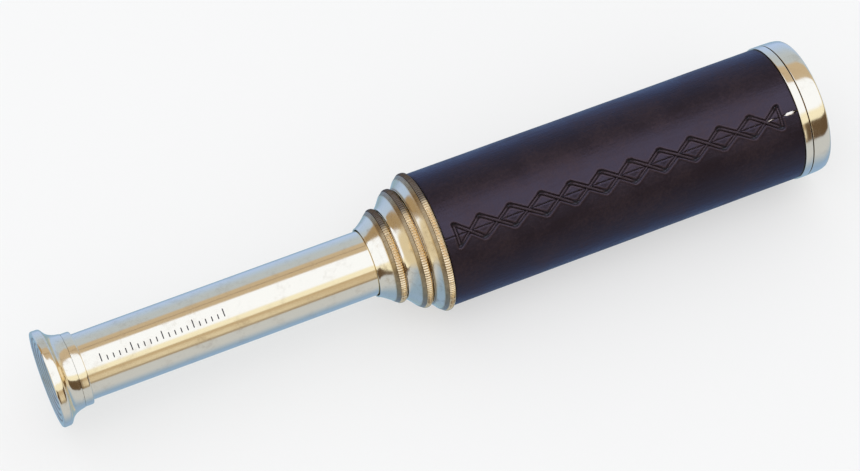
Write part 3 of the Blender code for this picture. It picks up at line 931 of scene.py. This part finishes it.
def make_lens(name, body, node, eye_bulge, object_bulge, steps=20):
    """A lens whose two faces bulge from its ground edge to the axis."""
    lens = span(node, INNER_FLATS)
    eye_side = []
    object_side = []
    for step in range(steps + 1):
        share = step / steps
        fall = (1.0 - math.sqrt(1.0 - 0.5 * share ** 2)) / (1.0 - math.sqrt(0.5))
        eye_side.append((lens.start + eye_bulge * fall, lens.radius * share))
        object_side.append((lens.end - object_bulge * fall, lens.radius * share))
    glass = turned(name, eye_side + object_side[::-1], [slot_finishes()["lens_glass"]])
    settle(glass, body, "lens_glass", node)


# ---------------------------------------------------------------- object end


class TELESCOPE_OT_object_end(bpy.types.Operator):
    """Make the object cell, the band at the leather's end and the front lens"""

    bl_idname = "telescope.object_end"
    bl_label = "Object end"

    def execute(self, context):
        sizes = context.scene.telescope_sizes
        cell = span("objective_cell")
        band = span("objective_ferrule")
        lens = span("objective_crown_lens", INNER_FLATS)
        start = band.end + GAP
        seat_bore = lens.radius + GAP
        shank = seat_bore + MM
        aperture = 14.6 * MM
        mouth = 16.6 * MM
        seat = lens.end - 1.15 * MM
        outline = eased([
            (start, shank, 0.0), (start, cell.radius, sizes.edge),
            (cell.end - 1.6 * MM, cell.radius - 0.12 * MM, 0.8 * MM),
            (cell.end, cell.radius - 0.55 * MM, 0.7 * MM), (cell.end, mouth, 0.25 * MM),
            (cell.end - 4.9 * MM, aperture, 0.1 * MM), (seat, aperture, 0.0), (seat, seat_bore, 0.0),
            (cell.start, seat_bore, 0.0), (cell.start, shank, sizes.edge)])
        piece = turned("object_cell", outline, [tube_brass(), blackening()], mouth + HAIR)
        settle(piece, "barrel", "polished_brass", "objective_cell")
        bore = span("barrel_tube").radius + GAP
        ring = eased([(band.start, bore, 0.0), (band.start, band.radius, 0.2 * MM),
                      (band.end, band.radius, 0.12 * MM), (band.end, bore, 0.0)])
        sleeve = turned("object_band", ring, [tube_brass()])
        settle(sleeve, "barrel", "polished_brass", "objective_ferrule")
        make_lens("object_lens_glass", "barrel", "objective_crown_lens", 1.65 * MM, 1.45 * MM)
        return {"FINISHED"}


# ---------------------------------------------------------------- leatherwork


def leatherwork():
    """The pieces that the sheen panel lights."""
    return bpy.data.collections.get("leatherwork") or bpy.data.collections.new("leatherwork")


def stitch_plan(sizes):
    """The stitches over the seam, each from one hole to another as (x, distance down from the seam)."""
    dice = random.Random(7)
    sleeve = span("leather_sleeve")
    first_bar = sleeve.start + 3.7 * MM
    last_bar = sleeve.end - 5.25 * MM
    first = first_bar + 2.8 * MM
    high, low = -sizes.stitch_height, sizes.stitch_height
    holes = [first_bar]
    for crossing in range(sizes.crossings - 1):
        holes.append(first + (crossing + 0.5) * sizes.stitch_pitch + dice.uniform(-0.25, 0.25) * MM)
    holes.append(last_bar)
    stitches = []
    for left, right in zip(holes, holes[1:]):
        apart = dice.uniform(0.18, 0.34) * MM
        lean = dice.uniform(-0.12, 0.12) * MM
        stitches.append(Stitch((left + apart, low + lean), (right - apart, high + lean), 0.0))
        stitches.append(Stitch((left + apart, high - lean), (right - apart, low - lean), 1.0))
    for bar, side in ((first_bar, -0.3 * MM), (last_bar, 0.3 * MM)):
        stitches.append(Stitch((bar + side, high - 0.15 * MM), (bar + side * 0.8, low + 0.15 * MM), 0.3))
    return stitches


def distance_to(stitch, x, s):
    """Distance of each grid point from a stitch."""
    (x0, s0), (x1, s1) = stitch.start, stitch.end
    run, rise = x1 - x0, s1 - s0
    share = np.clip(((x - x0) * run + (s - s0) * rise) / (run * run + rise * rise), 0.0, 1.0)
    return np.hypot(x - x0 - share * run, s - s0 - share * rise)


def bell(distance, reach):
    """A round bump that is 1 at no distance."""
    return np.exp(-(distance / reach) ** 2)


def leather_relief(x, s, sizes):
    """Height of the leather over its plain radius, and its colour mark: wear with painted highlight (+) or
    painted shade (-).
    """
    sleeve = span("leather_sleeve")
    height, wear_and_shade, channel, shoulder = (np.zeros_like(x) for _ in range(4))
    for stitch in stitch_plan(sizes):
        away = distance_to(stitch, x, s)
        buried = 1.0 - stitch.over
        width = (0.50 - 0.12 * buried) * MM
        channel = np.maximum(channel, (1.0 + 0.25 * buried) * np.exp(-(away / width) ** 4))
        shoulder = np.maximum(shoulder, bell(away - 0.85 * MM, 0.30 * MM))
        for hole_x, hole_s in (stitch.start, stitch.end):
            hole = np.hypot((x - hole_x) * 0.8, s - hole_s)
            # The upper holes sink deeper and get more painted shade than the lower ones.
            upper = 1.0 if hole_s < 0.0 else 0.35
            height -= 0.26 * MM * upper * bell(hole, 0.55 * MM)
            wear_and_shade -= 0.75 * upper * bell(hole, 0.50 * MM)
    height -= sizes.groove * channel
    height += 0.07 * MM * shoulder * (1.0 - np.minimum(channel, 1.0))
    # Wear and painted highlight on the shoulders beside the thread, painted shade in its channel.
    wear_and_shade += 0.8 * shoulder * (1.0 - np.minimum(channel, 1.0)) - 1.2 * channel
    edge = np.abs(s)
    height += 0.20 * MM * np.exp(-edge / (1.7 * MM))
    height -= 0.16 * MM * bell(edge, 0.20 * MM)
    # Painted shade along the seam line.
    wear_and_shade -= 0.5 * bell(edge, 0.12 * MM)
    swells = np.sin(x / (6.1 * MM) + s / (9.0 * MM)) * np.sin(x / (14.0 * MM) - s / (5.2 * MM))
    height += 0.02 * MM * swells
    for end in (sleeve.start, sleeve.end + LEATHER_LAP):
        height -= 0.10 * MM * bell(x - end, 0.25 * MM)
    return height, np.clip(wear_and_shade, -1.0, 1.0)


def joint_half_gap(x, sizes):
    """Half the gap between the leather's edges: shut, but for two short openings near the object end."""
    end = span("leather_sleeve").end
    wide = np.exp(-((x - (end - 1.75 * MM)) / (1.55 * MM)) ** 12) * 0.42 * MM
    slight = bell(x - (end - 7.6 * MM), 0.7 * MM) * 0.18 * MM
    return sizes.joint + wide + slight


def quads(grid):
    """The faces between neighbours in a grid of vertex numbers."""
    corners = [grid[:-1, :-1], grid[:-1, 1:], grid[1:, 1:], grid[1:, :-1]]
    return np.stack(corners, axis=-1).reshape(-1, 4).tolist()


def spread(half_turn, fine_reach, fine_step, coarse_step):
    """Distances from the seam out to the barrel's far side, close together near the seam."""
    fine = np.arange(0.0, fine_reach, fine_step)
    coarse = np.linspace(fine_reach, half_turn, int((half_turn - fine_reach) / coarse_step))
    return np.concatenate([fine, coarse])


class TELESCOPE_OT_leather(bpy.types.Operator):
    """Wrap the barrel in leather, butted along the seam and pressed in by the lacing"""

    bl_idname = "telescope.leather"
    bl_label = "Leather"

    def execute(self, context):
        sizes = context.scene.telescope_sizes
        sleeve = span("leather_sleeve")
        inner = span("barrel_tube").radius + GAP
        half_turn = math.pi * sleeve.radius
        near = spread(half_turn, 6.4 * MM, 0.19 * MM, 1.05 * MM)
        across = np.concatenate([near, 2.0 * half_turn - near[-2::-1]])
        columns = 460
        along = np.linspace(sleeve.start, sleeve.end + LEATHER_LAP, columns)
        x, start_s = np.meshgrid(along, across, indexing="ij")
        gap = joint_half_gap(x, sizes)
        s = gap + start_s / (2.0 * half_turn) * (2.0 * half_turn - 2.0 * gap)
        from_seam = np.where(s > half_turn, s - 2.0 * half_turn, s)
        height, wear_and_shade = leather_relief(x, from_seam, sizes)
        radius = sleeve.radius + height
        around = sizes.seam_angle + s / sleeve.radius
        outer, lining = (
            np.stack([x, -reach * np.sin(around), AXIS_HEIGHT + reach * np.cos(around)], axis=-1)
            for reach in (radius, inner))
        mesh = self.closed_sheet(outer, lining, wear_and_shade)
        piece = placed("barrel_leather_wrap", mesh, [slot_finishes()["leather"]])
        settle(piece, "barrel", "leather", "leather_sleeve")
        leatherwork().objects.link(piece)
        return {"FINISHED"}

    @staticmethod
    def closed_sheet(outer, lining, wear_and_shade):
        """Close the leather: its outer face, a lining that is fine only at the openings, and edges."""
        columns, rows = outer.shape[:2]
        opened = columns - 44
        coarse, fine = 104, 2
        kept = [*range(0, opened, coarse), *range(opened, columns - 1, fine), columns - 1]
        grid = np.arange(columns * rows).reshape(columns, rows)
        inner = grid.size + np.arange(len(kept) * rows).reshape(len(kept), rows)
        faces = quads(grid) + quads(inner.T)
        faces += quads(np.stack([inner[0], grid[0]])) + quads(np.stack([grid[-1], inner[-1]]))
        for step, (here, there) in enumerate(zip(kept, kept[1:])):
            near_edge = [*grid[here:there + 1, 0], *inner[step:step + 2, 0][::-1]]
            far_edge = [*grid[here:there + 1, -1][::-1], *inner[step:step + 2, -1]]
            faces += [[int(vertex) for vertex in edge] for edge in (near_edge, far_edge)]
        verts = np.concatenate([outer.reshape(-1, 3), lining[kept].reshape(-1, 3)])
        mesh = bpy.data.meshes.new("barrel_leather_wrap")
        mesh.from_pydata(verts.tolist(), [], faces)
        # The mesh carries the mark of wear, painted highlight and painted shade.
        wear_and_shade_layer = mesh.attributes.new("wear_and_shade", "FLOAT", "POINT")
        wear_and_shade_layer.data.foreach_set("value", np.pad(wear_and_shade.reshape(-1), (0, inner.size)).astype(np.float32))
        return mesh


class TELESCOPE_OT_lacing(bpy.types.Operator):
    """Lace the seam with crossed thread"""

    bl_idname = "telescope.lacing"
    bl_label = "Seam lacing"

    def execute(self, context):
        sizes = context.scene.telescope_sizes
        stitches = stitch_plan(sizes)
        lines = bpy.data.meshes.new("stitch_lines")
        points = [(*point, 0.0) for stitch in stitches for point in (stitch.start, stitch.end)]
        lines.from_pydata(points, [(2 * place, 2 * place + 1) for place in range(len(stitches))], [])
        over = lines.attributes.new("over", "FLOAT", "POINT")
        over.data.foreach_set("value", [stitch.over for stitch in stitches for _ in range(2)])
        lacing = made_by_recipe("seam_thread", lacing_recipe(), {
            "Seam": sizes.seam_angle, "Leather": span("leather_sleeve").radius,
            "Sink": sizes.groove, "Thread": sizes.thread, "Finish": slot_finishes()["lace"]}, lines)
        settle(lacing, "barrel", "lace", "seam_lacing")
        leatherwork().objects.link(lacing)
        return {"FINISHED"}


# ---------------------------------------------------------------- frame pieces that stay


class TELESCOPE_OT_inner_pieces(bpy.types.Operator):
    """Finish the glands, stop rings, baffles, lenses and rings that stay as the frame has them"""

    bl_idname = "telescope.inner_pieces"
    bl_label = "Inner pieces"

    def execute(self, context):
        finishes = slot_finishes()
        for part in frame["record"]["subparts"]:
            node = frame["nodes"][part["node"]]
            if node.hide_render:
                continue
            node.data.materials.clear()
            node.data.materials.append(finishes[part["material_slot"]])
        return {"FINISHED"}


# ---------------------------------------------------------------- studio


def draw_studio(sheet, sizes):
    """Light of the studio: even white for matt surfaces, and panels and walls for the brass to show.

    u is how far a direction points towards the object end, and phi its angle round the axis in degrees.
    """
    heading = sheet.node("ShaderNodeTexCoord", output="Generated")
    u, y, z = sheet.split(heading)
    phi = (-y).math("ARCTAN2", z) * (180.0 / math.pi)
    towards_eye = (0.225 - u).math("MAXIMUM", 0.0)
    far_left = sheet.ease(u, -0.70, -0.97)
    tan_low = -43.0 - 17.0 * sheet.ease(u, 0.1, -0.5) - 40.0 * sheet.ease(u, -0.5, -0.7)
    panel_low = -8.5 - 37.0 * towards_eye - 22.0 * sheet.ease(u, -0.86, -0.94)
    panel_high = 47.0 + 10.0 * towards_eye
    amber_high = 64.5 + 58.0 * far_left
    umber_high = 98.0 + 26.0 * far_left

    def after(edge, soft=1.2):
        return sheet.ease(phi - edge, -soft, soft)

    over_tube = sheet.ease(u, -0.04, 0.10) * sheet.ease(u, 0.33, 0.26)
    streaks = sheet.noise(sheet.join(u * 34.0, phi * 0.02, 0.0), 1.0, 4.0, 0.65)
    light_umber = sheet.blend(sheet.ease(streaks, 0.42, 0.66) * after(74.0, 4.0), sizes.umber, sizes.amber)
    light_umber = sheet.blend(after(91.0, 3.0) * 0.55, light_umber, sizes.umber_shade)
    umber = sheet.blend(over_tube, sizes.umber_shade, light_umber)
    tan = sheet.blend(sheet.ease(u, 0.1, -0.4), sizes.tan, sizes.tan_shade)
    slit = after(-27.6, 0.7) * (1.0 - after(-25.8, 0.7)) * over_tube
    straight_behind = -148.0
    low_behind = (phi - straight_behind).math("ABSOLUTE").math(
        "MINIMUM", (phi - straight_behind - 360.0).math("ABSOLUTE"))
    shade = sheet.layers(
        sizes.sky,
        (sheet.ease(phi, -105.0, -145.0), sizes.dusk),
        (sheet.ease(phi, -112.0, -124.0) * sheet.ease(u, 0.42, 0.55), sizes.warm),
        (sheet.ease(phi, -95.0, -60.0), sizes.haze),
        (after(tan_low, 4.0), tan),
        (slit * 0.7, sizes.umber_shade),
        (after(panel_low, 1.6), sizes.panel),
        (after(panel_high, 4.0), sizes.amber),
        (after(amber_high), umber),
        (after(umber_high, 2.0), sizes.ground),
        (sheet.ease(phi, 125.0, 165.0), sizes.dusk),
        (sheet.ease(low_behind, 42.0, 12.0) * sheet.ease(u, -0.5, -0.1), sizes.brink),
        (sheet.ease(u.math("ABSOLUTE"), 0.90, 0.97), sizes.ends))
    is_glossy = sheet.node("ShaderNodeLightPath", output="Is Glossy Ray")
    is_diffuse = sheet.node("ShaderNodeLightPath", output="Is Diffuse Ray")
    seen = sheet.layers((0.92, 0.92, 0.92), (is_diffuse, (0.98, 0.99, 1.0)), (is_glossy, shade))
    background = sheet.named("ShaderNodeBackground", Color=seen, Strength=1.0)
    sheet.node("ShaderNodeOutputWorld", sockets={"Surface": background})


class TELESCOPE_OT_studio(bpy.types.Operator):
    """Set up the pale floor, the soft light and the camera"""

    bl_idname = "telescope.studio"
    bl_label = "Studio"

    def execute(self, context):
        scene = context.scene
        sizes = scene.telescope_studio
        world = bpy.data.worlds.new("studio")
        world.use_nodes = True
        world.node_tree.nodes.clear()
        draw_studio(Sheet(world.node_tree), sizes)
        scene.world = world
        scene.view_settings.view_transform = "Standard"
        self.floor()
        self.soft_lamp(scene)
        self.sheen_lamp(scene)
        self.camera(scene, sizes)
        return {"FINISHED"}

    @staticmethod
    def floor():
        reach = 3.0
        height = AXIS_HEIGHT - span("barrel_collar").radius - HAIR
        mesh = bpy.data.meshes.new("floor")
        corners = [(-reach, -reach), (reach, -reach), (reach, reach), (-reach, reach)]
        mesh.from_pydata([(x, y, height) for x, y in corners], [], [(0, 1, 2, 3)])
        mesh.materials.append(finish("floor_paper", draw_floor))
        floor = bpy.data.objects.new("floor", mesh)
        bpy.context.scene.collection.objects.link(floor)
        floor.visible_glossy = False

    @staticmethod
    def area_lamp(scene, name, energy, **shape):
        light = bpy.data.lights.new(name, "AREA")
        light.energy = energy
        for setting, value in shape.items():
            setattr(light, setting, value)
        lamp = bpy.data.objects.new(name, light)
        scene.collection.objects.link(lamp)
        return lamp

    def soft_lamp(self, scene):
        """The light that throws the faint shadow; the metal doesn't mirror it."""
        lamp = self.area_lamp(scene, "soft_panel", 1.6, shape="DISK", size=0.9)
        lamp.location = (-0.15, -0.35, 1.1)
        lamp.rotation_euler = (-lamp.location).to_track_quat("-Z", "Y").to_euler()
        lamp.visible_glossy = False

    def sheen_lamp(self, scene):
        """A long soft panel that only the leatherwork catches, for the sheen along its upper side."""
        lamp = self.area_lamp(scene, "sheen_panel", 21.0, shape="RECTANGLE", size=1.8, size_y=1.0,
                              color=(0.76, 0.68, 1.0))
        turn = math.radians(16.0)
        lamp.location = (0.40, -math.sin(turn), AXIS_HEIGHT + math.cos(turn))
        lamp.rotation_euler = (turn, 0.0, 0.0)
        lamp.visible_diffuse = False
        lamp.light_linking.receiver_collection = leatherwork()

    @staticmethod
    def camera(scene, sizes):
        back = Vector((math.sin(sizes.azimuth) * math.cos(sizes.elevation),
                       -math.cos(sizes.azimuth) * math.cos(sizes.elevation), math.sin(sizes.elevation)))
        right = Vector((0.0, 0.0, 1.0)).cross(back).normalized()
        up = back.cross(right)
        data = bpy.data.cameras.new("camera")
        data.sensor_width = 36.0
        data.lens = sizes.focal
        data.clip_start = 0.01
        camera = bpy.data.objects.new("camera", data)
        target = Vector((sizes.aim, 0.0, AXIS_HEIGHT))
        camera.location = target + back * sizes.distance + right * sizes.slide + up * sizes.rise
        camera.rotation_euler = back.to_track_quat("Z", "Y").to_euler()
        scene.collection.objects.link(camera)
        scene.camera = camera


# ---------------------------------------------------------------- add-on


STEPS = (TELESCOPE_OT_studio, TELESCOPE_OT_tubes, TELESCOPE_OT_collars, TELESCOPE_OT_eyepiece,
         TELESCOPE_OT_focus_scale, TELESCOPE_OT_object_end, TELESCOPE_OT_leather, TELESCOPE_OT_lacing,
         TELESCOPE_OT_inner_pieces)


class TELESCOPE_PT_sidebar(bpy.types.Panel):
    """Everything that the telescope is made with"""

    bl_idname = "TELESCOPE_PT_sidebar"
    bl_label = "Hand telescope"
    bl_space_type = "VIEW_3D"
    bl_region_type = "UI"
    bl_category = "Telescope"

    def draw(self, context):
        for step in STEPS:
            self.layout.operator(step.bl_idname)
        for name, group in GROUPS.items():
            box = self.layout.box()
            for setting in group.__annotations__:
                box.prop(getattr(context.scene, name), setting)


CLASSES = (TelescopeSizes, TelescopeColours, StudioSizes, *STEPS, TELESCOPE_PT_sidebar)


GROUPS = {"telescope_sizes": TelescopeSizes, "telescope_colours": TelescopeColours,
          "telescope_studio": StudioSizes}


def register():
    for item in CLASSES:
        bpy.utils.register_class(item)
    for name, group in GROUPS.items():
        setattr(bpy.types.Scene, name, bpy.props.PointerProperty(type=group))


def unregister():
    for name in GROUPS:
        delattr(bpy.types.Scene, name)
    for item in reversed(CLASSES):
        bpy.utils.unregister_class(item)


def main():
    """Make every piece in order."""
    register()
    for step in STEPS:
        group, name = step.bl_idname.split(".")
        getattr(getattr(bpy.ops, group), name)()


if __name__ == "__main__":
    main()
